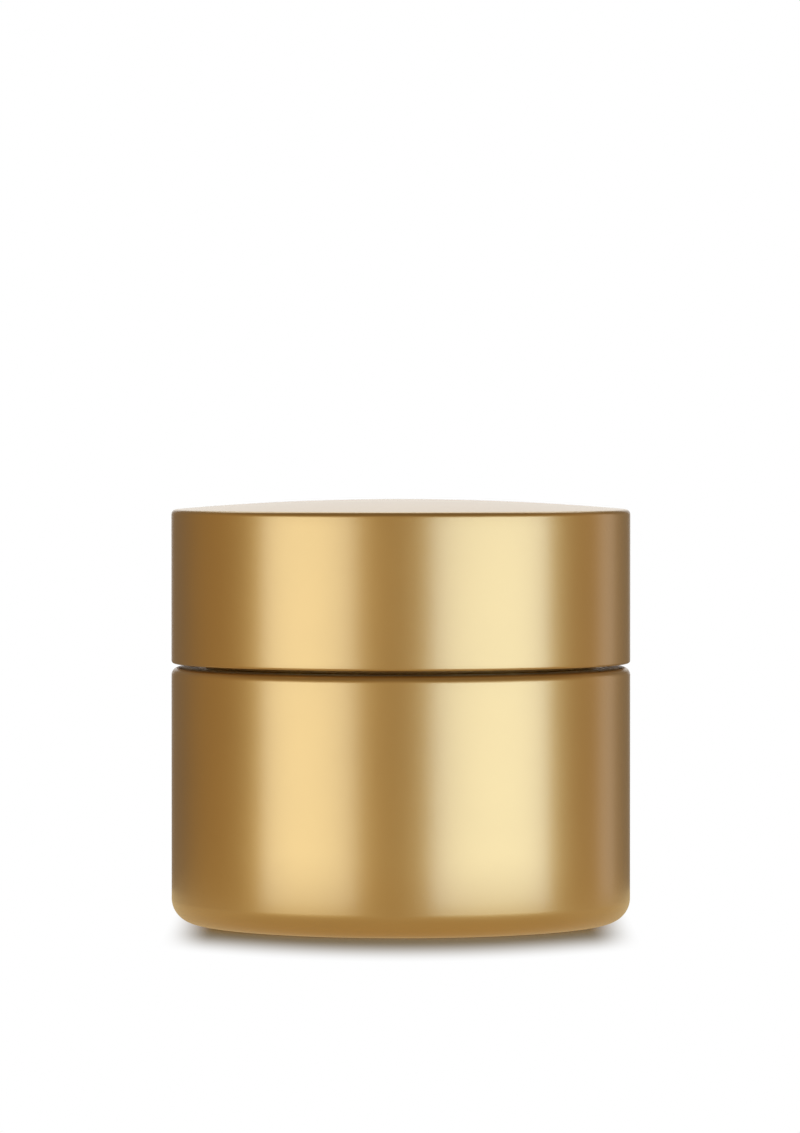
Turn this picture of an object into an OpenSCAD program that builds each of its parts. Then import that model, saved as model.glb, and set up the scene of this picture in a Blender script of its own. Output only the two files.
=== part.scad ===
// Cosmetic cream jar: a double-walled jar with a threaded neck and a tall screw lid.
// The jar stands on z = 0 with its axis on Z. All sizes are in millimetres.

/* [Overall] */
// Outer diameter of the jar and of its lid
outer_d = 60; // [50:0.5:76]
// Height of the jar body, from the surface to its shoulder
body_h = 33.4; // [27:0.2:42]
// Height of the lid, from its lower edge to its rim
lid_h = 20.1; // [19:0.1:26]
// Rise of the lid's crown above its rim
crown_h = 1.3; // [0.6:0.1:2.4]
// Gap between the shoulder and the lid's lower edge
lid_gap = 0.5; // [0.3:0.05:1]

/* [Metal shells] */
// Wall of both drawn shells
shell_t = 0.8; // [0.5:0.05:1]
// Outer radius of the jar's lower corner
base_r = 3.15; // [2.4:0.05:4]
// Outer radius of the jar's rolled shoulder
shoulder_r = 1.05; // [1.05:0.05:1.4]
// Width of the rolled lip that holds the neck core down
lip_w = 2.4; // [1.8:0.1:2.6]
// Outer radius of the lid's upper corner
rim_r = 0.7; // [0.4:0.05:1.2]
// Outer radius of the lid's lower edge
hem_r = 0.35; // [0.2:0.05:0.45]
// Rise of the stamped panel under the jar
panel_rise = 0.8; // [0.4:0.1:1.2]
// Width of the flat ring that the jar stands on
foot_w = 1.6; // [1:0.1:2.5]

/* [Neck and thread] */
// Wall of the threaded neck
neck_t = 1.3; // [1:0.1:1.6]
// Height of a thread ridge above its wall
ridge_h = 1.0; // [0.7:0.05:1.2]
// Rise of the lid in one turn
lead = 8; // [7:0.5:10]
// Turn covered by one ridge on the neck, in degrees
neck_sweep = 270; // [200:10:300]
// Turn covered by one ridge in the lid, in degrees
lid_sweep = 180; // [120:10:200]
// Height of the collar's upright ring
collar_h = 2.8; // [2:0.1:3.2]

/* [Walls] */
// Wall of the neck core's skirt and shoulder
core_t = 1.3; // [1:0.1:1.8]
// Wall of the inner cup
cup_t = 1.2; // [0.9:0.1:1.6]
// Floor of the inner cup
cup_floor_t = 1.4; // [1:0.1:2]
// Inner radius between the cup's wall and its floor
cup_r = 7; // [4:0.5:10]
// Thickness of the cup's rim flange
flange_t = 0.9; // [0.6:0.1:1.2]
// Wall of the lid core
lid_core_t = 1.2; // [0.9:0.1:1.5]
// Wall of the threaded lid insert
insert_t = 1.25; // [1:0.05:1.6]

/* [Seals and weights] */
// Thickness of the foam liner
liner_t = 1.2; // [0.8:0.1:1.5]
// Thickness of the sealing disc's wall
disc_t = 0.7; // [0.5:0.05:0.9]
// Depth of the sealing disc's dish
dish_depth = 2.4; // [1.8:0.1:3]
// Thickness of the steel disc in the lid
lid_weight_t = 1.8; // [1.2:0.1:2]
// Thickness of the steel disc in the base
base_weight_t = 2.5; // [1.5:0.1:4]
// Space between the sealing disc and the cream
head_space = 5.5; // [5:0.5:12]

/* [Hidden] */
$fn = 128;

gold = [0.80, 0.61, 0.33];
steel = [0.62, 0.63, 0.65];
white = [0.93, 0.93, 0.91];
ivory = [0.97, 0.95, 0.90];
clear_white = [0.88, 0.90, 0.92];

// Clearances: pressed or glued pieces, seated pieces, turning thread crests, thread flanks,
// and the space left over each steel disc
press_gap = 0.1;
seat_gap = 0.05;
run_gap = 0.2;
thread_play = 0.15;
weight_gap = 0.3;
// How far a moulded rib or ridge runs into the wall that carries it
bite = 0.3;

// Radii, worked out from the outside inwards
R = outer_d / 2;
shell_in_r = R - shell_t;
core_r = shell_in_r - press_gap;
lip_in_r = R - shoulder_r - lip_w;
lid_core_in_r = core_r - lid_core_t;
grip_rib_h = 1.1;
insert_r = lid_core_in_r - grip_rib_h - seat_gap;
insert_in_r = insert_r - insert_t;
lid_crest_r = insert_in_r - ridge_h;
neck_r = lid_crest_r - run_gap;
neck_crest_r = insert_in_r - run_gap;
neck_in_r = neck_r - neck_t;
cup_out_r = neck_in_r - press_gap;
cup_in_r = cup_out_r - cup_t;

// Heights of the lid, from the top down to the neck
lid_z = body_h + lid_gap;
rim_z = lid_z + lid_h;
crown_z = rim_z + crown_h;
crown_q = ((R - rim_r) ^ 2 + crown_h ^ 2) / (2 * crown_h);
crown_sphere_r = crown_q + rim_r;
crown_centre_z = crown_z - crown_sphere_r;
weight_r = insert_in_r - 1.4;
weight_top_z = dome_z(crown_sphere_r - shell_t, weight_r) - weight_gap;
core_plate_z = weight_top_z - lid_weight_t;
insert_top_z = core_plate_z - lid_core_t - press_gap;
ceiling_z = insert_top_z - insert_t;
liner_z = ceiling_z - press_gap - liner_t;
disc_top_z = liner_z - seat_gap;
cup_top_z = disc_top_z - disc_t - seat_gap;
neck_top_z = cup_top_z - flange_t;
insert_lift = 0.5;
insert_z = lid_z + insert_lift;

// Heights of the jar, from the surface up
shoulder_z = body_h - shell_t - press_gap;
panel_ramp = 3;
panel_r = R - base_r - foot_w - panel_ramp;
weight_z = panel_rise + shell_t;
cup_z = weight_z + base_weight_t + weight_gap;
cup_floor_z = cup_z + cup_floor_t;
dish_z = disc_top_z - dish_depth;
cream_top_z = dish_z - disc_t - head_space;

// Two-start thread: the neck's ridges end just below its top edge, and the lid's ridges pull up
// against their undersides. Both follow one right-handed helix.
starts = 2;
ridge_root_w = 1.9;
ridge_crest_w = 0.9;
ridge_step = 7.5;
neck_turn = 3;
neck_land = 0.7;
neck_ridge_z = neck_top_z - neck_land - ridge_root_w / 2 - lead * neck_sweep / 360;
lid_turn = 60;
lid_ridge_z = neck_ridge_z + lead * lid_turn / 360
    - (ridge_root_w + ridge_crest_w) / 2 - thread_play;

// Height of a dome of radius s at a distance r from the axis
function dome_z(s, r) = crown_centre_z + sqrt(s ^ 2 - r ^ 2);

// A disc or ring turned from a closed profile
module turned(points) {
    rotate_extrude() polygon(points);
}

// Half profile of a plain round block
module block(r, z_low, z_high) {
    translate([0, z_low]) square([r, z_high - z_low]);
}

// Half profile of a round block with its lower and upper edges rounded
module soft_block(r, z_low, z_high, low_r, high_r) {
    block(r, z_low + low_r, z_high - high_r);
    if (low_r > 0) {
        block(r - low_r, z_low, z_low + low_r);
        translate([r - low_r, z_low + low_r]) circle(low_r);
    }
    if (high_r > 0) {
        block(r - high_r, z_high - high_r, z_high);
        translate([r - high_r, z_high - high_r]) circle(high_r);
    }
}

// Half profile of a round block that a dome of radius s closes. The dome runs into the side
// through an edge of radius high_r, and the lower edge has radius low_r.
module domed_block(r, z_low, low_r, s, high_r) {
    edge_x = r - high_r;
    edge_z = crown_centre_z + sqrt((s - high_r) ^ 2 - edge_x ^ 2);
    tilt = asin(edge_x / (s - high_r));
    soft_block(r, z_low, edge_z, low_r, 0);
    translate([edge_x, edge_z]) circle(high_r);
    intersection() {
        translate([0, crown_centre_z]) circle(s, $fn = 1024);
        polygon([
            [0, edge_z - 1], [edge_x, edge_z - 1], [edge_x, edge_z],
            [edge_x + 2 * high_r * sin(tilt), edge_z + 2 * high_r * cos(tilt)], [0, crown_z + 1]
        ]);
    }
}

// How much of its full section a ridge has at a fraction u of its length: it runs out at both ends
function run_out(u, sweep) = max(0.12, min(1, min(u, 1 - u) * sweep / 24));

// One helical thread ridge. Its root is sunk into the wall, and its crest points outwards or inwards.
module ridge(wall_r, crest_r, z, sweep) {
    n = ceil(sweep / ridge_step);
    outwards = crest_r > wall_r ? 1 : -1;
    root_r = wall_r - outwards * bite;
    slope = (ridge_root_w - ridge_crest_w) / 2 / ridge_h;
    sections = [for (i = [0:n]) let (
        u = i / n,
        size = run_out(u, sweep),
        a = sweep * u,
        zc = z + lead * a / 360,
        tip_r = wall_r + (crest_r - wall_r) * size,
        half_root = (ridge_root_w / 2) * (0.4 + 0.6 * size) + slope * bite,
        half_tip = half_root - slope * (abs(tip_r - wall_r) + bite)
    ) each [
        [root_r * cos(a), root_r * sin(a), zc - half_root],
        [tip_r * cos(a), tip_r * sin(a), zc - half_tip],
        [tip_r * cos(a), tip_r * sin(a), zc + half_tip],
        [root_r * cos(a), root_r * sin(a), zc + half_root]
    ]];
    walls = [for (i = [0:n - 1], k = [0:3]) let (
        a = 4 * i + k,
        b = 4 * i + (k + 1) % 4,
        c = b + 4,
        d = a + 4
    ) each [[a, b, c], [a, c, d]]];
    ends = [[0, 2, 1], [0, 3, 2], [4 * n, 4 * n + 1, 4 * n + 2], [4 * n, 4 * n + 2, 4 * n + 3]];
    faces = concat(walls, ends);
    polyhedron(sections, outwards > 0 ? faces : [for (f = faces) [f[0], f[2], f[1]]]);
}

// Every ridge of one thread, evenly spaced round the axis
module thread(wall_r, crest_r, z, sweep, turn) {
    for (i = [0:starts - 1])
        rotate([0, 0, turn + 360 * i / starts]) ridge(wall_r, crest_r, z, sweep);
}

// Drawn metal cap with a gently crowned top
module lid_shell() {
    in_edge_r = 0.3;
    color(gold) rotate_extrude() difference() {
        domed_block(R, lid_z, hem_r, crown_sphere_r, rim_r);
        domed_block(shell_in_r, lid_z - 1, 0, crown_sphere_r - shell_t, in_edge_r);
    }
}

// Steel disc that gives the lid its heft
module lid_weight() {
    edge = 0.4;
    r = weight_r - press_gap;
    color(steel) turned([
        [0, core_plate_z], [r - edge, core_plate_z], [r, core_plate_z + edge],
        [r, weight_top_z - edge], [r - edge, weight_top_z], [0, weight_top_z]
    ]);
}

// Moulded core that fills the lid shell, with a pocket for the weight and ribs that grip the insert
module lid_core() {
    ribs = 24;
    rib_w = 0.9;
    low_z = insert_z + 1.1;
    pocket_z = dome_z(crown_sphere_r - shell_t, core_r) - press_gap;
    edge = 0.6;
    color(white) {
        turned([
            [0, core_plate_z - lid_core_t], [lid_core_in_r, core_plate_z - lid_core_t],
            [lid_core_in_r, low_z], [core_r, low_z], [core_r, pocket_z - edge],
            [core_r - edge, pocket_z], [weight_r, pocket_z], [weight_r, core_plate_z], [0, core_plate_z]
        ]);
        for (i = [0:ribs - 1])
            rotate([0, 0, 360 * i / ribs])
                translate([insert_r + seat_gap, -rib_w / 2, low_z + 0.6])
                    cube([grip_rib_h + bite, rib_w, core_plate_z - lid_core_t - low_z - 0.1]);
    }
}

// Threaded inner cap with a foot flange that closes the lid's underside
module lid_insert() {
    flange_r = core_r;
    flange_h = 1;
    bead_h = 0.35;
    bead_z = disc_top_z - 0.15;
    color(white) {
        turned([
            [0, ceiling_z], [insert_in_r, ceiling_z],
            [insert_in_r, bead_z], [insert_in_r - bead_h, bead_z - 0.25], [insert_in_r, bead_z - 0.6],
            [insert_in_r, insert_z + 0.4], [insert_in_r + 0.4, insert_z],
            [flange_r - 0.2, insert_z], [flange_r, insert_z + 0.2], [flange_r, insert_z + flange_h],
            [insert_r, insert_z + flange_h], [insert_r, insert_top_z - 0.5],
            [insert_r - 0.5, insert_top_z], [0, insert_top_z]
        ]);
        thread(insert_in_r, lid_crest_r, lid_ridge_z, lid_sweep, neck_turn + lid_turn);
    }
}

// Foam wad that the lid presses on the sealing disc, held in by the insert's bead
module lid_liner() {
    color(clear_white) rotate_extrude() block(insert_in_r - run_gap, liner_z, liner_z + liner_t);
}

// Loose hygiene disc: a dish that plugs the cup's mouth, with a grip bar to lift it by
module seal_disc() {
    plug_r = cup_in_r - run_gap;
    under_z = dish_z - disc_t;
    rim_under_z = disc_top_z - disc_t;
    grip_l = 16;
    grip_w = 1.6;
    grip_h = dish_depth - 0.5;
    color(clear_white) {
        turned([
            [0, under_z], [plug_r - 0.4, under_z], [plug_r, under_z + 0.4], [plug_r, rim_under_z],
            [neck_r, rim_under_z], [neck_r, disc_top_z], [plug_r - disc_t, disc_top_z],
            [plug_r - disc_t, dish_z], [0, dish_z]
        ]);
        translate([-grip_l / 2, -grip_w / 2, dish_z - 0.2]) cube([grip_l, grip_w, grip_h + 0.2]);
        for (side = [-1, 1])
            translate([side * grip_l / 2, 0, dish_z - 0.2]) cylinder(r = grip_w / 2, h = grip_h + 0.2);
    }
}

// Drawn metal cup with a stamped panel under it and a lip rolled in at its shoulder
module jar_shell() {
    color(gold) rotate_extrude() difference() {
        soft_block(R, 0, body_h, base_r, shoulder_r);
        difference() {
            soft_block(shell_in_r, shell_t, body_h - shell_t, base_r - shell_t, shoulder_r - shell_t);
            stamped_panel(shell_t);
        }
        stamped_panel(0);
        block(lip_in_r, body_h / 2, body_h + 1);
    }
}

// Half profile of the space under the stamped panel, z above the surface
module stamped_panel(z) {
    polygon([
        [0, z - 1], [panel_r + panel_ramp, z - 1], [panel_r + panel_ramp, z],
        [panel_r, z + panel_rise], [0, z + panel_rise]
    ]);
}

// Moulded core that the shell's lip holds down: skirt, shoulder and threaded neck in one
module neck_core() {
    corner_r = base_r - shell_t - press_gap;
    skirt_in_r = core_r - core_t;
    low_z = shell_t + press_gap;
    plate_z = shoulder_z - core_t;
    ribs = 8;
    rib_w = 1.2;
    rib_z = cup_floor_z + cup_r;
    color(white) {
        rotate_extrude() difference() {
            union() {
                soft_block(core_r, low_z, shoulder_z, corner_r, 0.4);
                block(neck_r, plate_z, neck_top_z);
            }
            block(skirt_in_r, low_z - 1, plate_z);
            block(neck_in_r, low_z - 1, neck_top_z + 1);
        }
        thread(neck_r, neck_crest_r, neck_ridge_z, neck_sweep, neck_turn);
        for (i = [0:ribs - 1])
            rotate([0, 0, 360 * (i + 0.5) / ribs])
                translate([neck_in_r, -rib_w / 2, rib_z])
                    cube([skirt_in_r - neck_in_r + bite, rib_w, plate_z + bite - rib_z]);
    }
}

// Metal trim ring that covers the core's shoulder round the neck
module neck_collar() {
    in_r = neck_r + press_gap;
    out_r = lip_in_r - press_gap;
    wall = 0.8;
    top_z = shoulder_z + wall;
    edge = 0.15;
    color(gold) turned([
        [in_r, shoulder_z], [out_r, shoulder_z], [out_r, top_z - edge], [out_r - edge, top_z],
        [in_r + wall + 0.5, top_z], [in_r + wall, top_z + 0.5],
        [in_r + wall, shoulder_z + collar_h - edge], [in_r + wall - edge, shoulder_z + collar_h],
        [in_r, shoulder_z + collar_h]
    ]);
}

// Cup that holds the cream and hangs from its flange on the neck's top edge
module inner_cup() {
    color(white) rotate_extrude() difference() {
        union() {
            soft_block(cup_out_r, cup_z, cup_top_z - flange_t / 2, cup_r + cup_t, 0);
            soft_block(neck_r - 0.1, neck_top_z, cup_top_z, 0.1, 0.2);
        }
        soft_block(cup_in_r, cup_floor_z, cup_top_z + 1, cup_r, 0);
    }
}

// Steel disc that steadies the jar
module base_weight() {
    edge = 0.4;
    top_z = weight_z + base_weight_t;
    color(steel) turned([
        [0, weight_z], [panel_r - edge, weight_z], [panel_r, weight_z + edge],
        [panel_r, top_z - edge], [panel_r - edge, top_z], [0, top_z]
    ]);
}

// The cream that fills the cup
module cream() {
    color(ivory) rotate_extrude()
        soft_block(cup_in_r - seat_gap, cup_floor_z + seat_gap, cream_top_z, cup_r, 0.5);
}

lid_shell();
lid_weight();
lid_core();
lid_insert();
lid_liner();
seal_disc();
jar_shell();
neck_core();
neck_collar();
inner_cup();
base_weight();
cream();
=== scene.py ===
import math

import bmesh
import bpy
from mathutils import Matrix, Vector


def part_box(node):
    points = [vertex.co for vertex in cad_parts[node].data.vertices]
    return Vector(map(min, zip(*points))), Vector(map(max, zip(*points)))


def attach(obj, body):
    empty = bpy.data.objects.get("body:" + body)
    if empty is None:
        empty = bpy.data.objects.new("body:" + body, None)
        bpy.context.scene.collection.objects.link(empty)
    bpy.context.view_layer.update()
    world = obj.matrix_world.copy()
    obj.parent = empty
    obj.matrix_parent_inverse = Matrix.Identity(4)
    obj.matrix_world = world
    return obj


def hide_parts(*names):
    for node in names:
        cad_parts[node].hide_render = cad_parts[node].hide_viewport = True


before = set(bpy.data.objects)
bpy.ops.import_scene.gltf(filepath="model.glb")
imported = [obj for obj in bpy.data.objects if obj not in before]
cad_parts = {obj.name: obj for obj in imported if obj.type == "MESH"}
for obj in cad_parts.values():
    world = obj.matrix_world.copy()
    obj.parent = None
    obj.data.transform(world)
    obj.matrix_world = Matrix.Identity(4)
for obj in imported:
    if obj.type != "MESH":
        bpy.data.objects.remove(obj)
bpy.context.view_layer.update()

MM = 0.001
TAU = 2 * math.pi

# Steps round a turned piece, and round the cream
SEGMENTS = 288
LINER_SEGMENTS = 192
CREAM_SEGMENTS = 240
# Edges sharper than these many degrees stay crisp
CREASE = 32
THREAD_CREASE = 40
CREAM_CREASE = 60
# Points closer than this are one point, and a point this near a wall lies on it
SAME_POINT = 1e-7
ON_WALL = 1e-6

# ---------------------------------------------------------------------------
# Sizes. Each node's box gives its place; the rest repeats the part's own sizes.
# ---------------------------------------------------------------------------
shell_lo, shell_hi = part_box("lid_shell")
_, jar_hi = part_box("jar_shell")
core_lo, core_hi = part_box("neck_core")
collar_lo, collar_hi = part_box("neck_collar")
insert_lo, insert_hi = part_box("lid_insert")
liner_lo, liner_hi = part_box("lid_liner")
disc_lo, disc_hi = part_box("seal_disc")
cup_lo, cup_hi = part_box("inner_cup")
cream_lo, cream_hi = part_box("cream")

R = jar_hi.x
LID_Z = shell_lo.z
CROWN_Z = shell_hi.z
BODY_H = jar_hi.z

# Clearances: between pressed pieces, and between the turning thread faces
PRESS_GAP = 0.1 * MM
RUN_GAP = 0.2 * MM

# The two metal shells: sheet, corners, hem, crown, and the stamped panel inside the foot ring
SHELL_T = 0.8 * MM
BASE_R = 3.15 * MM
SHOULDER_R = 1.05 * MM
LIP_W = 2.4 * MM
LIP_IN_R = R - SHOULDER_R - LIP_W
RIM_R = 0.7 * MM
HEM_R = 0.35 * MM
CROWN_H = 1.3 * MM
CROWN_S = ((R - RIM_R) ** 2 + CROWN_H ** 2) / (2 * CROWN_H) + RIM_R
PANEL_RISE = 0.8 * MM
PANEL_RAMP = 3.0 * MM
FOOT_W = 1.6 * MM
PANEL_R = R - BASE_R - FOOT_W - PANEL_RAMP

# Thread: two ridges on the neck and two in the lid's insert
LEAD = 8.0 * MM
RIDGE_H = 1.0 * MM
RIDGE_ROOT = 1.9 * MM
RIDGE_CREST = 0.9 * MM
CORE_T = 1.3 * MM
INSERT_T = 1.25 * MM
NECK_R = disc_hi.x
NECK_IN_R = NECK_R - CORE_T
INSERT_IN_R = NECK_R + RUN_GAP + RIDGE_H
INSERT_R = INSERT_IN_R + INSERT_T
NECK_TURN = 3
NECK_SWEEP = 270
LID_LAG = 60
LID_TURN = NECK_TURN + LID_LAG
LID_SWEEP = 180
NECK_LAND = 0.7 * MM
THREAD_SLACK = 0.15 * MM
NECK_RIDGE_Z = core_hi.z - NECK_LAND - RIDGE_ROOT / 2 - LEAD * NECK_SWEEP / 360
LID_RIDGE_Z = (NECK_RIDGE_Z + LEAD * LID_LAG / 360
               - (RIDGE_ROOT + RIDGE_CREST) / 2 - THREAD_SLACK)
# A ridge's ends, in degrees: each rises over RUN from PAST outside its sweep, and none is looked
# for beyond REACH. There its root and crest have these shares of their full width.
RIDGE_RUN = 16
RIDGE_PAST = 2
RIDGE_REACH = 8
RIDGE_END_ROOT = 0.45
RIDGE_END_CREST = 0.3

# Inner cup
CUP_R = 7 * MM
CUP_T = 1.2 * MM
CUP_FLOOR_T = 1.4 * MM
CUP_OUT_R = NECK_IN_R - PRESS_GAP
CUP_IN_R = CUP_OUT_R - CUP_T


# ---------------------------------------------------------------------------
# Mesh helpers
# ---------------------------------------------------------------------------
def arc(cx, cz, r, start, end, n=10):
    """Profile points (radius, height) along an arc, in degrees, both ends included."""
    angles = [math.radians(start + (end - start) * i / n) for i in range(n + 1)]
    return [(cx + r * math.cos(a), cz + r * math.sin(a)) for a in angles]


def line(a, b, n):
    """Points from a to b, both ends included."""
    return [(a[0] + (b[0] - a[0]) * i / n, a[1] + (b[1] - a[1]) * i / n) for i in range(n + 1)]


def clean(points):
    """The profile without points that repeat their neighbour."""
    kept = []
    for p in points:
        if not kept or math.hypot(p[0] - kept[-1][0], p[1] - kept[-1][1]) > SAME_POINT:
            kept.append(p)
    return kept


def shade(mesh, angle=CREASE):
    """Smooth shading, with edges sharper than the angle kept crisp."""
    mesh.polygons.foreach_set("use_smooth", [True] * len(mesh.polygons))
    mesh.set_sharp_from_angle(angle=math.radians(angle))
    mesh.update()


def add_object(name, bm, angle=CREASE):
    """A new object at the origin from a bmesh, with its normals facing out."""
    bmesh.ops.recalc_face_normals(bm, faces=bm.faces)
    mesh = bpy.data.meshes.new(name)
    bm.to_mesh(mesh)
    bm.free()
    shade(mesh, angle)
    obj = bpy.data.objects.new(name, mesh)
    bpy.context.scene.collection.objects.link(obj)
    return obj


def revolve(name, profile, segments=SEGMENTS, offset=None, angle=CREASE):
    """A closed solid turned about Z from a profile of (radius, height) points.

    Points on the axis become poles. offset(angle, radius, height) may move a point outwards.
    """
    bm = bmesh.new()
    rings = []
    for r, z in clean(profile):
        if r < SAME_POINT:
            rings.append([bm.verts.new((0, 0, z))])
            continue
        ring = []
        for k in range(segments):
            a = TAU * k / segments
            rr = r + (offset(a, r, z) if offset else 0.0)
            ring.append(bm.verts.new((rr * math.cos(a), rr * math.sin(a), z)))
        rings.append(ring)
    pairs = list(zip(rings, rings[1:]))
    pole_ends = len(rings[0]) == 1 and len(rings[-1]) == 1
    if not pole_ends:
        pairs.append((rings[-1], rings[0]))
    for low, high in pairs:
        for k in range(segments):
            n = (k + 1) % segments
            if len(low) == 1:
                bm.faces.new((low[0], high[n], high[k]))
            elif len(high) == 1:
                bm.faces.new((low[k], low[n], high[0]))
            else:
                bm.faces.new((low[k], low[n], high[n], high[k]))
    return add_object(name, bm, angle)


def ease(x):
    """A smooth step from 0 at 0 to 1 at 1."""
    x = max(0.0, min(1.0, x))
    return x * x * (3 - 2 * x)


def ridge_height(a, z, start_turn, start_z, sweep):
    """Height of the two thread ridges above their wall, at angle a (radians) and height z."""
    best = 0.0
    for start in (start_turn, start_turn + 180):
        base = (math.degrees(a) - start) % 360
        for turn in (base - 360, base, base + 360):
            if turn < -RIDGE_REACH or turn > sweep + RIDGE_REACH:
                continue
            size = ease(min(turn + RIDGE_PAST, sweep + RIDGE_PAST - turn) / RIDGE_RUN)
            away = abs(z - (start_z + LEAD * turn / 360))
            half_root = RIDGE_ROOT / 2 * (RIDGE_END_ROOT + (1 - RIDGE_END_ROOT) * size)
            half_crest = RIDGE_CREST / 2 * (RIDGE_END_CREST + (1 - RIDGE_END_CREST) * size)
            if away < half_root:
                rise = (half_root - away) / (half_root - half_crest)
                best = max(best, ease(rise) * size)
    return best * RIDGE_H


def join(obj, other):
    """obj joined with other as one clean mesh; other is removed."""
    mod = obj.modifiers.new("shape", "BOOLEAN")
    mod.operation = "UNION"
    mod.solver = "EXACT"
    mod.object = other
    bpy.context.view_layer.update()
    graph = bpy.context.evaluated_depsgraph_get()
    mesh = bpy.data.meshes.new_from_object(obj.evaluated_get(graph))
    obj.modifiers.clear()
    old = obj.data
    name = old.name
    obj.data = mesh
    bpy.data.meshes.remove(old)
    mesh.name = name
    bpy.data.objects.remove(other)
    shade(mesh)


def soft_bar(name, length, width, low, high, edge):
    """A bar along X with round ends and a softened top edge."""
    end_steps, edge_steps = 24, 5
    outline = []
    for side, start in ((1, -90), (-1, 90)):
        outline += arc(side * length / 2, 0, width / 2, start, start + 180, end_steps)
    levels = [(low, 0.0), (high - edge, 0.0)]
    for k in range(1, edge_steps + 1):
        t = math.radians(90 * k / edge_steps)
        levels.append((high - edge + edge * math.sin(t), edge * (1 - math.cos(t))))
    bm = bmesh.new()
    rings = []
    for z, inset in levels:
        ring = []
        for x, y in outline:
            cx = max(-length / 2, min(length / 2, x))
            away = math.hypot(x - cx, y)
            kept = (away - inset) / away
            ring.append(bm.verts.new((cx + (x - cx) * kept, y * kept, z)))
        rings.append(ring)
    n = len(outline)
    for lower, upper in zip(rings, rings[1:]):
        for k in range(n):
            bm.faces.new((lower[k], lower[(k + 1) % n], upper[(k + 1) % n], upper[k]))
    bm.faces.new(list(reversed(rings[0])))
    bm.faces.new(rings[-1])
    return add_object(name, bm)


# ---------------------------------------------------------------------------
# Node helpers. tree is a node tree, and a factor is a socket.
# ---------------------------------------------------------------------------
# Nearly all of a noise pattern lies between these values
NOISE_LOW, NOISE_HIGH = 0.3, 0.7


def noise(tree, scale, detail=2.0, rough=0.5):
    """A noise pattern in object space, so that its grain keeps its size in metres."""
    coords = tree.nodes.new("ShaderNodeTexCoord")
    tex = tree.nodes.new("ShaderNodeTexNoise")
    tex.inputs["Scale"].default_value = scale
    tex.inputs["Detail"].default_value = detail
    tex.inputs["Roughness"].default_value = rough
    tree.links.new(coords.outputs["Object"], tex.inputs["Vector"])
    return tex.outputs["Fac"]


def base_colour(tree, shader, factor, first, last, low=NOISE_LOW, high=NOISE_HIGH):
    """The shader's colour runs from first, where factor is low, to last, where it is high."""
    node = tree.nodes.new("ShaderNodeValToRGB")
    stops = ((low, first), (high, last))
    for element, (position, colour) in zip(node.color_ramp.elements, stops):
        element.position = position
        element.color = (*colour, 1)
    tree.links.new(factor, node.inputs["Fac"])
    tree.links.new(node.outputs["Color"], shader.inputs["Base Color"])


def uneven_gloss(tree, shader, factor, rough, spread):
    """The shader's roughness wanders with factor, by spread either way."""
    node = tree.nodes.new("ShaderNodeMapRange")
    node.inputs["From Min"].default_value = NOISE_LOW
    node.inputs["From Max"].default_value = NOISE_HIGH
    node.inputs["To Min"].default_value = rough - spread
    node.inputs["To Max"].default_value = rough + spread
    tree.links.new(factor, node.inputs["Value"])
    tree.links.new(node.outputs["Result"], shader.inputs["Roughness"])


def bump(tree, shader, factor, strength, distance, under=None):
    """Bumps the surface by factor, over the bump called under. Returns the new normal."""
    node = tree.nodes.new("ShaderNodeBump")
    node.inputs["Strength"].default_value = strength
    node.inputs["Distance"].default_value = distance
    tree.links.new(factor, node.inputs["Height"])
    if under:
        tree.links.new(under, node.inputs["Normal"])
    tree.links.new(node.outputs["Normal"], shader.inputs["Normal"])
    return node.outputs["Normal"]


def math_node(tree, operation, first, second=None):
    """A Math node's result; first and second are sockets or numbers."""
    node = tree.nodes.new("ShaderNodeMath")
    node.operation = operation
    for place, value in enumerate((first, second)):
        if isinstance(value, (int, float)):
            node.inputs[place].default_value = value
        elif value is not None:
            tree.links.new(value, node.inputs[place])
    return node.outputs[0]


def fade(tree, factor, low, high):
    """A smooth rise from 0 at low to 1 at high."""
    node = tree.nodes.new("ShaderNodeMapRange")
    node.interpolation_type = "SMOOTHSTEP"
    node.inputs["From Min"].default_value = low
    node.inputs["From Max"].default_value = high
    tree.links.new(factor, node.inputs["Value"])
    return node.outputs["Result"]


def fade_out(tree, factor, low, high):
    """A smooth fall from 1 at low to 0 at high."""
    return math_node(tree, "SUBTRACT", 1.0, fade(tree, factor, low, high))


def mix_colour(tree, factor, first, second):
    """first where factor is 0 and second where it is 1; each is a socket or a colour."""
    node = tree.nodes.new("ShaderNodeMix")
    node.data_type = "RGBA"
    for key, value in (("A", first), ("B", second)):
        if isinstance(value, tuple):
            node.inputs[key].default_value = (*value, 1)
        else:
            tree.links.new(value, node.inputs[key])
    tree.links.new(factor, node.inputs["Factor"])
    return node.outputs["Result"]


def mix_shader(tree, factor, first, second, out):
    """Sends first, where factor is 0, and second, where it is 1, to the output node."""
    node = tree.nodes.new("ShaderNodeMixShader")
    tree.links.new(factor, node.inputs["Fac"])
    tree.links.new(first, node.inputs[1])
    tree.links.new(second, node.inputs[2])
    tree.links.new(node.outputs["Shader"], out.inputs["Surface"])


# ---------------------------------------------------------------------------
# Materials
# ---------------------------------------------------------------------------
def new_material(name):
    """A material with one Principled shader: itself, its node tree and the shader."""
    mat = bpy.data.materials.new(name)
    mat.use_nodes = True
    tree = mat.node_tree
    tree.nodes.clear()
    out = tree.nodes.new("ShaderNodeOutputMaterial")
    shader = tree.nodes.new("ShaderNodeBsdfPrincipled")
    tree.links.new(shader.outputs["BSDF"], out.inputs["Surface"])
    return mat, tree, shader


# Lacquer over the metal, and the faint mottle of the sheet under it
COAT_IOR = 1.8
COAT_ROUGH = 0.25
MOTTLE_SCALE = 1300
MOTTLE_DEPTH = 0.006 * MM


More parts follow.
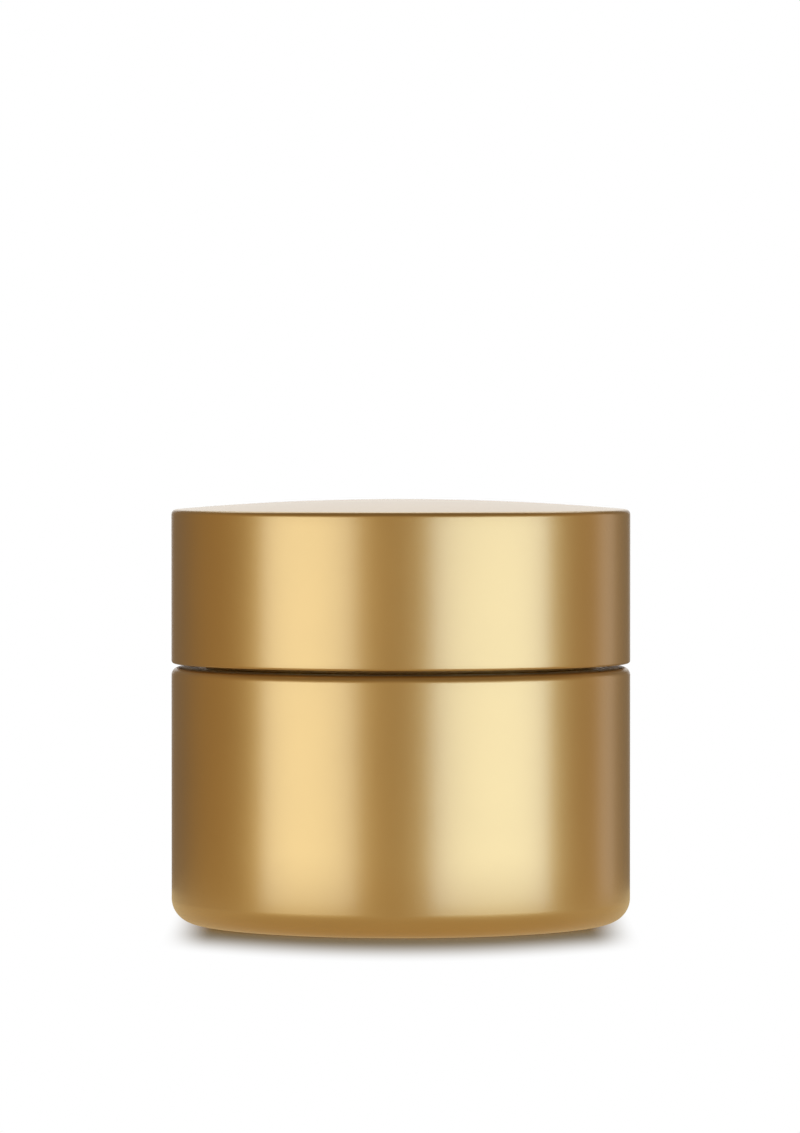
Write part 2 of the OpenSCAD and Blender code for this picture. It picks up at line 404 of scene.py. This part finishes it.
def metal(name, colour, rough, grain, grain_depth, tint, coat=0.0):
    """Blasted and anodised metal: an even colour with a fine grain over a faint mottle."""
    mat, tree, shader = new_material(name)
    darker = tuple(c * (1 - tint) for c in colour)
    lighter = tuple(min(1.0, c * (1 + tint)) for c in colour)
    base_colour(tree, shader, noise(tree, 90, 3), darker, lighter)
    fine = noise(tree, grain)
    uneven_gloss(tree, shader, fine, rough, 0.02)
    shader.inputs["Metallic"].default_value = 1.0
    shader.inputs["Coat Weight"].default_value = coat
    shader.inputs["Coat Roughness"].default_value = COAT_ROUGH
    shader.inputs["Coat IOR"].default_value = COAT_IOR
    mottle = bump(tree, shader, noise(tree, MOTTLE_SCALE, 4, 0.6), 1.0, MOTTLE_DEPTH)
    bump(tree, shader, fine, 0.25, grain_depth, under=mottle)
    return mat


def plastic(name, colour, rough, grain, grain_depth, transmission=0.0):
    """Moulded plastic: a faint mottle, a fine mould grain and slightly uneven gloss."""
    mat, tree, shader = new_material(name)
    darker = tuple(c * 0.985 for c in colour)
    base_colour(tree, shader, noise(tree, 160, 3), darker, colour)
    fine = noise(tree, grain)
    uneven_gloss(tree, shader, fine, rough, 0.03)
    shader.inputs["IOR"].default_value = 1.5
    shader.inputs["Transmission Weight"].default_value = transmission
    bump(tree, shader, fine, 0.3, grain_depth)
    return mat


def foam_material():
    """Closed-cell foam: small pale cells with darker joints."""
    mat, tree, shader = new_material("pe_foam")
    coords = tree.nodes.new("ShaderNodeTexCoord")
    cells = tree.nodes.new("ShaderNodeTexVoronoi")
    cells.inputs["Scale"].default_value = 2600
    tree.links.new(coords.outputs["Object"], cells.inputs["Vector"])
    distance = cells.outputs["Distance"]
    base_colour(tree, shader, distance, (0.84, 0.85, 0.86), (0.76, 0.77, 0.78), low=0.0, high=0.75)
    shader.inputs["Roughness"].default_value = 0.75
    bump(tree, shader, distance, 0.5, 0.08 * MM)
    return mat


def cream_material():
    """Thick cream: soft, slightly glossy, warm white."""
    mat, tree, shader = new_material("cream")
    base_colour(tree, shader, noise(tree, 220, 3), (0.83, 0.805, 0.745), (0.86, 0.84, 0.785))
    fine = noise(tree, 900, 3)
    uneven_gloss(tree, shader, fine, 0.36, 0.06)
    shader.inputs["Subsurface Weight"].default_value = 0.25
    shader.inputs["Subsurface Radius"].default_value = (1.0, 0.85, 0.6)
    shader.inputs["Subsurface Scale"].default_value = 1.2 * MM
    shader.inputs["Coat Weight"].default_value = 0.25
    shader.inputs["Coat Roughness"].default_value = 0.2
    bump(tree, shader, fine, 0.25, 0.08 * MM)
    return mat


satin_gold = metal("satin_gold", (0.560, 0.358, 0.122), rough=0.40,
                   grain=9000, grain_depth=0.012 * MM, tint=0.015, coat=1.0)
bright_gold = metal("bright_gold", (0.91, 0.66, 0.33), rough=0.20,
                    grain=9000, grain_depth=0.006 * MM, tint=0.015)
zinc_steel = metal("zinc_steel", (0.62, 0.63, 0.65), rough=0.34,
                   grain=2600, grain_depth=0.02 * MM, tint=0.08)
white_abs = plastic("white_abs", (0.80, 0.80, 0.785), rough=0.42,
                    grain=5200, grain_depth=0.015 * MM)
white_pp = plastic("white_pp", (0.84, 0.84, 0.83), rough=0.26,
                   grain=3000, grain_depth=0.006 * MM)
clear_pe = plastic("clear_pe", (0.86, 0.88, 0.89), rough=0.34,
                   grain=3600, grain_depth=0.01 * MM, transmission=0.45)
pe_foam = foam_material()
cream_white = cream_material()


def finish_piece(obj, material, body, slot_name, *nodes):
    """Gives a piece its material, rides it on its body and lets it stand for its CAD nodes."""
    obj.data.materials.clear()
    obj.data.materials.append(material)
    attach(obj, body)
    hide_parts(*nodes)


# ---------------------------------------------------------------------------
# Lid
# ---------------------------------------------------------------------------
def crown_profile(s, r, edge, low_z):
    """The dome of radius s, the edge where it meets the side, and the side down to low_z."""
    centre_z = CROWN_Z - CROWN_S
    edge_x = r - edge
    edge_z = centre_z + math.sqrt((s - edge) ** 2 - edge_x ** 2)
    tilt = math.degrees(math.asin(edge_x / (s - edge)))
    dome = arc(0, centre_z, s, 90, 90 - tilt, 28)
    corner = arc(edge_x, edge_z, edge, 90 - tilt, 0)
    return dome + corner + line((r, edge_z), (r, low_z), 12)


def lid_cap():
    """The drawn cap: crowned top, small rim edge and hemmed lower edge."""
    chamfer = 0.12 * MM
    inner_r = R - SHELL_T
    return revolve("lid_cap", (
        crown_profile(CROWN_S, R, RIM_R, LID_Z + HEM_R)
        + arc(R - HEM_R, LID_Z + HEM_R, HEM_R, 0, -90, 6)
        + [(inner_r + chamfer, LID_Z), (inner_r, LID_Z + chamfer)]
        + crown_profile(CROWN_S - SHELL_T, inner_r, 0.3 * MM, LID_Z + chamfer)[::-1]
    ))


def threaded_insert():
    """The inner cap: plate, skirt with the inner ridges and the liner's bead, and foot flange."""
    flange_r, flange_t = insert_hi.x, 1.0 * MM
    foot_z, top_z = insert_lo.z, insert_hi.z
    foot_edge, flange_edge, top_edge = 0.4 * MM, 0.2 * MM, 0.5 * MM
    ceiling_z = liner_hi.z + PRESS_GAP
    bead_z = liner_lo.z - 0.2 * MM
    bead_h, bead_w, bead_steps = 0.6 * MM, 0.35 * MM, 6
    bead = [
        (INSERT_IN_R - bead_w * math.sin(math.pi * k / bead_steps),
         bead_z - bead_h * k / bead_steps)
        for k in range(bead_steps + 1)
    ]
    wall_top, wall_foot = bead_z - 0.8 * MM, foot_z + 0.6 * MM
    inside = (
        line((0, ceiling_z), (INSERT_IN_R, ceiling_z), 8)
        + [(INSERT_IN_R, bead_z)]
        + bead
        + line((INSERT_IN_R, wall_top), (INSERT_IN_R, wall_foot), 112)
        + arc(INSERT_IN_R + foot_edge, foot_z + foot_edge, foot_edge, 180, 270, 6)
    )
    outside = (
        arc(flange_r - flange_edge, foot_z + flange_edge, flange_edge, -90, 0, 4)
        + line((flange_r, foot_z + flange_t), (INSERT_R, foot_z + flange_t), 1)
        + [(INSERT_R, top_z - top_edge)]
        + arc(INSERT_R - top_edge, top_z - top_edge, top_edge, 0, 90, 5)
        + line((INSERT_R - top_edge, top_z), (0, top_z), 6)
    )

    def ridges(a, r, z):
        if abs(r - INSERT_IN_R) > ON_WALL or not wall_foot - 0.1 * MM < z < wall_top + 0.1 * MM:
            return 0.0
        return -ridge_height(a, z, LID_TURN, LID_RIDGE_Z, LID_SWEEP)

    return revolve("lid_thread_insert", inside + outside, offset=ridges, angle=THREAD_CREASE)


def foam_liner():
    """The foam wad, with small round edges."""
    edge = 0.15 * MM
    flat_r = liner_hi.x - edge
    return revolve("lid_foam_liner", (
        line((0, liner_lo.z), (flat_r, liner_lo.z), 6)
        + arc(flat_r, liner_lo.z + edge, edge, -90, 0, 4)
        + arc(flat_r, liner_hi.z - edge, edge, 0, 90, 4)
        + line((flat_r, liner_hi.z), (0, liner_hi.z), 6)
    ), segments=LINER_SEGMENTS)


finish_piece(lid_cap(), satin_gold, "lid", "satin_gold", "lid_shell")
finish_piece(threaded_insert(), white_pp, "lid", "white_pp", "lid_insert")
finish_piece(foam_liner(), pe_foam, "liner", "pe_foam", "lid_liner")


# ---------------------------------------------------------------------------
# Jar
# ---------------------------------------------------------------------------
def panel_ramp(z):
    """The smooth step from the stamped panel down to the foot ring, from the axis outwards."""
    steps = 12
    return [
        (PANEL_R + PANEL_RAMP * k / steps,
         z + PANEL_RISE * (1 + math.cos(math.pi * k / steps)) / 2)
        for k in range(steps + 1)
    ]


def jar_body():
    """The drawn cup of the body: stamped panel, foot ring, round corners and rolled lip."""
    lip = 0.35 * MM
    shoulder_x, shoulder_z = R - SHOULDER_R, BODY_H - SHOULDER_R
    outer = (
        line((0, PANEL_RISE), (PANEL_R, PANEL_RISE), 10)
        + panel_ramp(0)
        + [(R - BASE_R, 0)]
        + arc(R - BASE_R, BASE_R, BASE_R, -90, 0, 24)
        + line((R, BASE_R), (R, shoulder_z), 16)
        + arc(shoulder_x, shoulder_z, SHOULDER_R, 0, 90, 12)
        + arc(LIP_IN_R + lip, BODY_H - lip, lip, 90, 180, 6)
        + arc(LIP_IN_R + lip, BODY_H - SHELL_T + lip, lip, 180, 270, 6)
    )
    inner = (
        arc(shoulder_x, shoulder_z, SHOULDER_R - SHELL_T, 90, 0, 6)
        + arc(R - BASE_R, BASE_R, BASE_R - SHELL_T, 0, -90, 12)
        + panel_ramp(SHELL_T)[::-1]
        + line((PANEL_R, PANEL_RISE + SHELL_T), (0, PANEL_RISE + SHELL_T), 6)
    )
    return revolve("jar_body_shell", outer + inner)


def neck_core():
    """The moulded core: skirt, shoulder and threaded neck."""
    core_r, skirt_in_r = core_hi.x, core_hi.x - CORE_T
    foot_z, shoulder_z, top_z = core_lo.z, collar_lo.z, core_hi.z
    plate_z = shoulder_z - CORE_T
    shoulder_edge, top_edge = 0.4 * MM, 0.2 * MM
    corner_r = BASE_R - SHELL_T - PRESS_GAP
    corner_start = -math.degrees(math.acos((skirt_in_r - (core_r - corner_r)) / corner_r))
    profile = (
        arc(core_r - corner_r, foot_z + corner_r, corner_r, corner_start, 0)
        + arc(core_r - shoulder_edge, shoulder_z - shoulder_edge, shoulder_edge, 0, 90, 5)
        + [(NECK_R, shoulder_z)]
        + line((NECK_R, shoulder_z + 0.2 * MM), (NECK_R, top_z - 0.3 * MM), 132)
        + arc(NECK_R - top_edge, top_z - top_edge, top_edge, 0, 90, 4)
        + [(NECK_IN_R, top_z), (NECK_IN_R, plate_z), (skirt_in_r, plate_z)]
    )

    def ridges(a, r, z):
        if abs(r - NECK_R) > ON_WALL or z > top_z - 0.25 * MM:
            return 0.0
        return ridge_height(a, z, NECK_TURN, NECK_RIDGE_Z, NECK_SWEEP)

    return revolve("neck_threaded_core", profile, offset=ridges, angle=THREAD_CREASE)


def trim_collar():
    """The metal trim ring: a flat foot and a low upright wall."""
    wall_in = NECK_R + PRESS_GAP
    wall = 0.8 * MM
    wall_out = wall_in + wall
    flat_z = collar_lo.z + wall
    edge, top_edge, root = 0.15 * MM, 0.2 * MM, 0.5 * MM
    return revolve("neck_trim_collar", (
        [(wall_in, collar_lo.z), (collar_hi.x, collar_lo.z)]
        + arc(collar_hi.x - edge, flat_z - edge, edge, 0, 90, 4)
        + arc(wall_out + root, flat_z + root, root, 270, 180, 6)
        + arc(wall_out - top_edge, collar_hi.z - top_edge, top_edge, 0, 90, 5)
        + arc(wall_in + edge, collar_hi.z - edge, edge, 90, 180, 4)
    ))


def inner_cup():
    """The cup with its rim flange."""
    low_z, neck_top = cup_lo.z, core_hi.z
    floor_z = low_z + CUP_FLOOR_T
    corner_x, outer_corner = CUP_IN_R - CUP_R, CUP_R + CUP_T
    under_edge, rim_edge, mouth_edge = 0.2 * MM, 0.25 * MM, 0.3 * MM
    return revolve("inner_cup_bowl", (
        line((0, low_z), (corner_x, low_z), 4)
        + arc(corner_x, low_z + outer_corner, outer_corner, -90, 0, 16)
        + [(CUP_OUT_R, neck_top), (cup_hi.x - 0.1 * MM, neck_top)]
        + arc(cup_hi.x - under_edge, neck_top + under_edge, under_edge, -60, 0, 3)
        + arc(cup_hi.x - rim_edge, cup_hi.z - rim_edge, rim_edge, 0, 90, 5)
        + arc(CUP_IN_R + mouth_edge, cup_hi.z - mouth_edge, mouth_edge, 90, 180, 5)
        + arc(corner_x, floor_z + CUP_R, CUP_R, 0, -90, 16)
        + line((corner_x, floor_z), (0, floor_z), 4)
    ))


finish_piece(jar_body(), satin_gold, "jar", "satin_gold", "jar_shell")
finish_piece(neck_core(), white_abs, "jar", "white_abs", "neck_core")
finish_piece(trim_collar(), bright_gold, "jar", "bright_gold", "neck_collar")
finish_piece(inner_cup(), white_pp, "jar", "white_pp", "inner_cup")


# ---------------------------------------------------------------------------
# Cream, filled in a slow swirl that ends in a small soft peak
# ---------------------------------------------------------------------------
CREAM_LEVEL = cream_hi.z - 1.75 * MM
SWIRL_TURNS = 2.6
SWIRL_OUT_H = 0.35 * MM
SWIRL_IN_H = 0.75 * MM
CALM_EDGE = 0.16
PEAK_H = 1.5 * MM
PEAK_R = 2.6 * MM
CLING_H = 0.35 * MM
CLING_W = 0.9 * MM


def cream_height(r, a):
    """Height of the cream's surface over its level: swirl, peak and the cling to the cup."""
    edge = cream_hi.x
    wave = 0.5 + 0.5 * math.cos(TAU * (r / edge * SWIRL_TURNS - a / TAU))
    calm = ease((edge - r) / (CALM_EDGE * edge))
    centre = math.exp(-((r / PEAK_R) ** 2))
    swirl = (SWIRL_OUT_H + SWIRL_IN_H * (1 - r / edge)) * wave * calm * (1 - centre)
    cling = CLING_H * math.exp(-(((edge - r) / CLING_W) ** 2))
    return swirl + PEAK_H * centre + cling


def cream_fill():
    """The fill: its surface in rings, then the cup's round corner, then the flat underside."""
    bm = bmesh.new()
    seg, steps = CREAM_SEGMENTS, 88
    edge, low_z = cream_hi.x, cream_lo.z

    def ring(r, height):
        turns = [TAU * k / seg for k in range(seg)]
        return [bm.verts.new((r * math.cos(a), r * math.sin(a), height(a))) for a in turns]

    top_pole = bm.verts.new((0, 0, CREAM_LEVEL + cream_height(0, 0)))
    rings = []
    for k in range(1, steps + 1):
        r = edge * k / steps
        rings.append(ring(r, lambda a: CREAM_LEVEL + cream_height(r, a)))
    for r, z in arc(edge - CUP_R, low_z + CUP_R, CUP_R, 0, -90, 12):
        rings.append(ring(r, lambda a: z))
    low_pole = bm.verts.new((0, 0, low_z))
    for k in range(seg):
        n = (k + 1) % seg
        bm.faces.new((top_pole, rings[0][k], rings[0][n]))
        bm.faces.new((low_pole, rings[-1][n], rings[-1][k]))
    for near, far in zip(rings, rings[1:]):
        for k in range(seg):
            n = (k + 1) % seg
            bm.faces.new((near[k], far[k], far[n], near[n]))
    return add_object("cream_fill", bm, angle=CREAM_CREASE)


finish_piece(cream_fill(), cream_white, "jar", "cream", "cream")


# ---------------------------------------------------------------------------
# Sealing disc with its grip bar
# ---------------------------------------------------------------------------
def seal_disc():
    """The dished disc: a plug in the cup's mouth, a rim over it and a bar to lift it by."""
    wall = 0.7 * MM
    plug_r = CUP_IN_R - 0.2 * MM
    dish_r, dish_z = plug_r - wall, disc_lo.z + wall
    rim_r, rim_under = disc_hi.x, disc_hi.z - wall
    plug_edge, rim_edge, dish_edge, root = 0.4 * MM, 0.2 * MM, 0.25 * MM, 0.3 * MM
    dish = revolve("seal_disc_dish", (
        line((0, disc_lo.z), (plug_r - plug_edge, disc_lo.z), 6)
        + arc(plug_r - plug_edge, disc_lo.z + plug_edge, plug_edge, -90, 0, 5)
        + [(plug_r, rim_under), (rim_r - 0.15 * MM, rim_under)]
        + arc(rim_r - rim_edge, rim_under + rim_edge, rim_edge, -75, 0, 3)
        + arc(rim_r - rim_edge, disc_hi.z - rim_edge, rim_edge, 0, 90, 4)
        + arc(dish_r + dish_edge, disc_hi.z - dish_edge, dish_edge, 90, 180, 4)
        + arc(dish_r - root, dish_z + root, root, 0, -90, 4)
        + line((dish_r - root, dish_z), (0, dish_z), 6)
    ))
    bar = soft_bar("grip", length=16 * MM, width=1.6 * MM,
                   low=dish_z - 0.2 * MM, high=dish_z + 1.9 * MM, edge=0.3 * MM)
    join(dish, bar)
    return dish


finish_piece(seal_disc(), clear_pe, "disc", "clear_pe", "seal_disc")

# ---------------------------------------------------------------------------
# Pieces kept as they are in the frame, which the lid and the jar hide
# ---------------------------------------------------------------------------
for node, material in (
    ("lid_core", white_abs),
    ("lid_weight", zinc_steel),
    ("base_weight", zinc_steel),
):
    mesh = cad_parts[node].data
    mesh.materials.clear()
    mesh.materials.append(material)


# ---------------------------------------------------------------------------
# Stage, light and camera
# ---------------------------------------------------------------------------
WHITE = (1.0, 1.0, 1.0)

# The paper's colour to the metal and to light bounced off it, warm to paint the metal's reflection
# of it; its colour to the camera, darker than the paper to paint a deeper shade; and the share of
# the warm colour that glows in the metal as a painted reflection
PAPER_REFLECTION_TINT = (1.0, 0.85, 0.52)
PAPER_SHADE_SEEN = (0.66, 0.70, 0.75)
PAPER_REFLECTION_GLOW = 0.40
FLOOR_R = 68 * MM
FLOOR_DROP = 0.02 * MM
# Where the painted shadow ends, in metres to each side and forward: full strength up to the first
# value. Inside it the camera sees the lit paper with its real shade instead of white
SHADOW_SIDE = (0.0240, 0.0305)
SHADOW_FRONT = (0.031, 0.063)
# The painted shadow's front edge curves back to the sides, and behind the object it ends sooner
SHADOW_CURVE = 21.0
SHADOW_BACK = 2.0


def floor_material():
    """White paper: inside a painted shadow that falls forward it shows its real shade, and outside
    it runs out to even white.

    The camera sees the white outside the painted shadow, and inside it paper painted darker than it
    is. The metal sees warm paper with a faint glow, a painted reflection.
    """
    mat = bpy.data.materials.new("floor_paper")
    mat.use_nodes = True
    tree = mat.node_tree
    tree.nodes.clear()
    out = tree.nodes.new("ShaderNodeOutputMaterial")
    rays = tree.nodes.new("ShaderNodeLightPath").outputs
    # The camera sees the paper darker than it is, as painted shade; the metal and light bounced off
    # it see it warm, as a painted reflection tint
    paper = tree.nodes.new("ShaderNodeBsdfDiffuse")
    tree.links.new(mix_colour(tree, rays["Is Camera Ray"], PAPER_REFLECTION_TINT, PAPER_SHADE_SEEN),
                   paper.inputs["Color"])
    # The paper glows even white to the camera outside the painted shadow, and warm in the metal as
    # a painted reflection
    light = tree.nodes.new("ShaderNodeEmission")
    tree.links.new(mix_colour(tree, rays["Is Camera Ray"], PAPER_REFLECTION_TINT, WHITE), light.inputs["Color"])

    # The painted shadow: a patch under and in front of the object where the camera sees the lit
    # paper, with its real shade, instead of white
    coords = tree.nodes.new("ShaderNodeTexCoord")
    place = tree.nodes.new("ShaderNodeSeparateXYZ")
    tree.links.new(coords.outputs["Object"], place.inputs["Vector"])
    side = math_node(tree, "ABSOLUTE", place.outputs["X"])
    forward = math_node(tree, "MULTIPLY", place.outputs["Y"], -1.0)
    backward = math_node(tree, "MULTIPLY", place.outputs["Y"], SHADOW_BACK)
    curve = math_node(tree, "MULTIPLY", math_node(tree, "MULTIPLY", side, side), SHADOW_CURVE)
    along = math_node(tree, "ADD", math_node(tree, "MAXIMUM", forward, backward), curve)
    shadow = math_node(tree, "MULTIPLY", fade_out(tree, side, *SHADOW_SIDE),
                       fade_out(tree, along, *SHADOW_FRONT))
    outside = math_node(tree, "SUBTRACT", 1.0, shadow)

    mirrors = math_node(tree, "MAXIMUM", rays["Is Glossy Ray"], rays["Is Transmission Ray"])
    to_camera = math_node(tree, "MULTIPLY", outside, rays["Is Camera Ray"])
    # Everywhere on the floor the metal sees part of the warm paper glow, a painted reflection
    to_mirrors = math_node(tree, "MULTIPLY", mirrors, PAPER_REFLECTION_GLOW)
    mix_shader(tree, math_node(tree, "MAXIMUM", to_camera, to_mirrors),
               paper.outputs["BSDF"], light.outputs["Emission"], out)
    return mat


def add_floor():
    """A round sheet of paper just under the object."""
    bm = bmesh.new()
    bmesh.ops.create_circle(bm, cap_ends=True, segments=128, radius=FLOOR_R)
    bmesh.ops.translate(bm, verts=bm.verts, vec=(0, 0, -FLOOR_DROP))
    mesh = bpy.data.meshes.new("floor")
    bm.to_mesh(mesh)
    bm.free()
    obj = bpy.data.objects.new("floor", mesh)
    bpy.context.scene.collection.objects.link(obj)
    obj.data.materials.append(floor_material())


def softbox(name, azimuth, elevation, distance, width, height, level, colour):
    """A rectangular lamp at an azimuth from the front (positive to the right), aimed at the object.

    level is the brightness of its face, where 1 is white.
    """
    lamp = bpy.data.lights.new(name, "AREA")
    lamp.shape = "RECTANGLE"
    lamp.size = width
    lamp.size_y = height
    lamp.energy = level * math.pi * width * height
    lamp.color = colour
    obj = bpy.data.objects.new(name, lamp)
    a, e = math.radians(azimuth), math.radians(elevation)
    target = Vector((0, 0, CROWN_Z / 2))
    aim = Vector((math.sin(a) * math.cos(e), -math.cos(a) * math.cos(e), math.sin(e)))
    obj.location = target + distance * aim
    obj.rotation_euler = (target - obj.location).to_track_quat("-Z", "Y").to_euler()
    obj.visible_camera = False
    bpy.context.scene.collection.objects.link(obj)


# The room's colour round the object, behind it and overhead
ROOM = (0.43, 0.285, 0.120)
ROOM_BEHIND = (0.22, 0.165, 0.105)
CEILING = (0.25, 0.18, 0.10)
# Where one gives way to the next, and where the white sheet behind the object ends, as parts of
# a direction's length: Y runs backwards, Z up and X to the side
BEHIND_FROM = (0.35, 0.85)
CEILING_FROM = (0.35, 0.80)
SHEET_SIDE = (0.15, 0.30)
SHEET_FOOT = (-0.12, 0.02)
SHEET_TOP = (0.45, 0.75)


def add_world():
    """A warm room with a white backdrop.

    The camera sees the backdrop all round, and the metal sees it as a sheet behind the object.
    """
    world = bpy.data.worlds.new("studio")
    bpy.context.scene.world = world
    world.use_nodes = True
    tree = world.node_tree
    tree.nodes.clear()
    out = tree.nodes.new("ShaderNodeOutputWorld")
    coords = tree.nodes.new("ShaderNodeTexCoord")
    split = tree.nodes.new("ShaderNodeSeparateXYZ")
    tree.links.new(coords.outputs["Generated"], split.inputs["Vector"])
    x, y, z = (split.outputs[axis] for axis in "XYZ")

    walls = mix_colour(tree, fade(tree, y, *BEHIND_FROM), ROOM, ROOM_BEHIND)
    room = tree.nodes.new("ShaderNodeBackground")
    tree.links.new(mix_colour(tree, fade(tree, z, *CEILING_FROM), walls, CEILING),
                   room.inputs["Color"])
    backdrop = tree.nodes.new("ShaderNodeBackground")
    backdrop.inputs["Color"].default_value = (*WHITE, 1)

    across = fade_out(tree, math_node(tree, "ABSOLUTE", x), *SHEET_SIDE)
    upward = math_node(tree, "MULTIPLY", fade(tree, z, *SHEET_FOOT), fade_out(tree, z, *SHEET_TOP))
    behind = math_node(tree, "GREATER_THAN", y, 0.0)
    sheet = math_node(tree, "MULTIPLY", math_node(tree, "MULTIPLY", across, upward), behind)
    rays = tree.nodes.new("ShaderNodeLightPath").outputs
    to_mirrors = math_node(tree, "MULTIPLY", rays["Is Glossy Ray"], sheet)
    seen = math_node(tree, "MAXIMUM", rays["Is Camera Ray"], rays["Is Transmission Ray"])
    mix_shader(tree, math_node(tree, "MAXIMUM", seen, to_mirrors),
               room.outputs["Background"], backdrop.outputs["Background"], out)


# A long lens a little above the lid's rim that looks slightly down; metres and degrees
EYE = (-0.00011, -0.80, 0.0645)
LOOK_DOWN = 1.29
LENS = 275.2
SENSOR = 36.0


def add_camera():
    """The camera at the photograph's viewing angle."""
    data = bpy.data.cameras.new("camera")
    data.sensor_fit = "HORIZONTAL"
    data.sensor_width = SENSOR
    data.lens = LENS
    data.clip_start = 0.01
    data.clip_end = 100.0
    camera = bpy.data.objects.new("camera", data)
    camera.location = EYE
    camera.rotation_euler = (math.radians(90 - LOOK_DOWN), 0, 0)
    bpy.context.scene.collection.objects.link(camera)
    bpy.context.scene.camera = camera


add_floor()
# Name, azimuth, elevation, distance, width, height, level and colour
for lamp_facts in (
    ("softbox_left", -47, -3, 1.0, 0.94, 0.46, 2.1, (0.85, 1.0, 1.0)),
    ("softbox_right", 46.5, -3, 1.0, 1.23, 0.46, 3.0, (0.60, 0.82, 1.0)),
    ("strip_right", 124, 0, 1.0, 0.30, 0.60, 0.45, WHITE),
    ("softbox_top", 180, 50, 1.2, 1.2, 0.5, 1.6, (0.82, 0.94, 1.0)),
):
    softbox(*lamp_facts)
add_world()
add_camera()

bpy.context.scene.view_settings.view_transform = "Standard"
